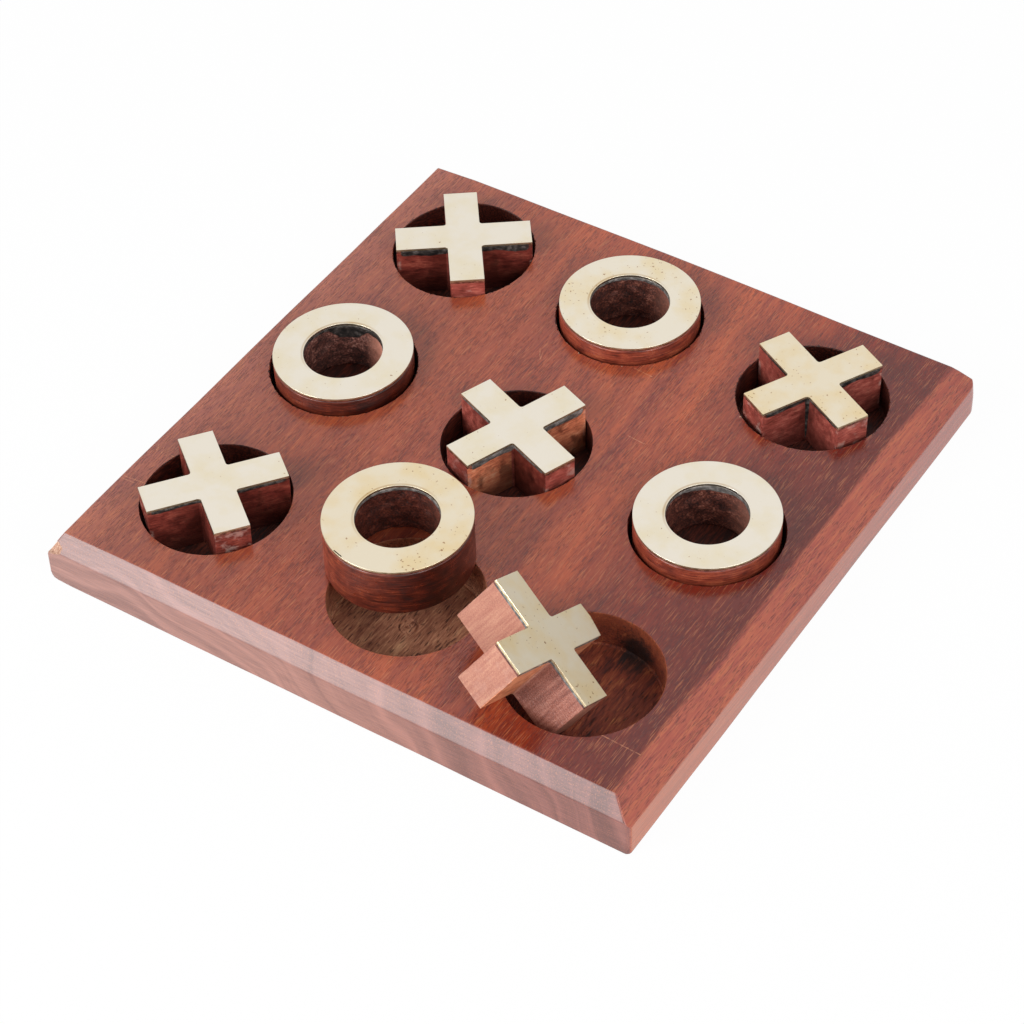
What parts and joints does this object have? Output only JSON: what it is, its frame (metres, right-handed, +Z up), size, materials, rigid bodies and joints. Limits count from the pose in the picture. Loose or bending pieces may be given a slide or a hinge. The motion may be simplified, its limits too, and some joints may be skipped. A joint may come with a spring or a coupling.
{
  "type": "tic-tac-toe board",
  "caption": "Hardwood tic-tac-toe board with round pockets holding loose brass-topped crosses and rings; a cross leans on its pocket and a ring stands beside its own.",
  "frame": {"origin": "centre of the board's underside", "axes": "+X along the front edge to the right, +Y along the grain from the front edge to the back edge, +Z up out of the pockets"},
  "size_m": [0.152, 0.1584, 0.0333],
  "materials": {
    "board_wood": "red-brown rosewood, sanded and thinly oiled",
    "piece_wood": "red-brown rosewood, turned and sawn, satin lacquer",
    "glue": "grey epoxy squeezed out and cured glossy",
    "brass_plate": "pale brass sheet, rubbed flat, lightly tarnished"
  },
  "bodies": {
    "board": {"board": "board_wood"},
    "x_back_left": {"x_back_left_wood": "piece_wood", "x_back_left_glue": "glue", "x_back_left_plate": "brass_plate"},
    "x_back_right": {"x_back_right_wood": "piece_wood", "x_back_right_glue": "glue", "x_back_right_plate": "brass_plate"},
    "x_centre": {"x_centre_wood": "piece_wood", "x_centre_glue": "glue", "x_centre_plate": "brass_plate"},
    "x_front_left": {"x_front_left_wood": "piece_wood", "x_front_left_glue": "glue", "x_front_left_plate": "brass_plate"},
    "x_front_right": {"x_front_right_wood": "piece_wood", "x_front_right_glue": "glue", "x_front_right_plate": "brass_plate"},
    "o_back_middle": {"o_back_middle_wood": "piece_wood", "o_back_middle_glue": "glue", "o_back_middle_plate": "brass_plate"},
    "o_middle_left": {"o_middle_left_wood": "piece_wood", "o_middle_left_glue": "glue", "o_middle_left_plate": "brass_plate"},
    "o_middle_right": {"o_middle_right_wood": "piece_wood", "o_middle_right_glue": "glue", "o_middle_right_plate": "brass_plate"},
    "o_front_middle": {"o_front_middle_wood": "piece_wood", "o_front_middle_glue": "glue", "o_front_middle_plate": "brass_plate"}
  },
  "joints": [
    {"name": "x_back_left_lift", "type": "slide", "parent": "board", "child": "x_back_left", "axis": [0, 0, 1], "range_m": [0, 0.04]},
    {"name": "x_back_right_lift", "type": "slide", "parent": "board", "child": "x_back_right", "axis": [0, 0, 1], "range_m": [0, 0.04]},
    {"name": "x_centre_lift", "type": "slide", "parent": "board", "child": "x_centre", "axis": [0, 0, 1], "range_m": [0, 0.04]},
    {"name": "x_front_left_lift", "type": "slide", "parent": "board", "child": "x_front_left", "axis": [0, 0, 1], "range_m": [0, 0.04]},
    {"name": "x_front_right_lift", "type": "slide", "parent": "board", "child": "x_front_right", "axis": [0, 0, 1], "range_m": [0, 0.04]},
    {"name": "o_back_middle_lift", "type": "slide", "parent": "board", "child": "o_back_middle", "axis": [0, 0, 1], "range_m": [0, 0.04]},
    {"name": "o_middle_left_lift", "type": "slide", "parent": "board", "child": "o_middle_left", "axis": [0, 0, 1], "range_m": [0, 0.04]},
    {"name": "o_middle_right_lift", "type": "slide", "parent": "board", "child": "o_middle_right", "axis": [0, 0, 1], "range_m": [0, 0.04]},
    {"name": "o_front_middle_lift", "type": "slide", "parent": "board", "child": "o_front_middle", "axis": [0, 0, 1], "range_m": [0, 0.04]}
  ]
}
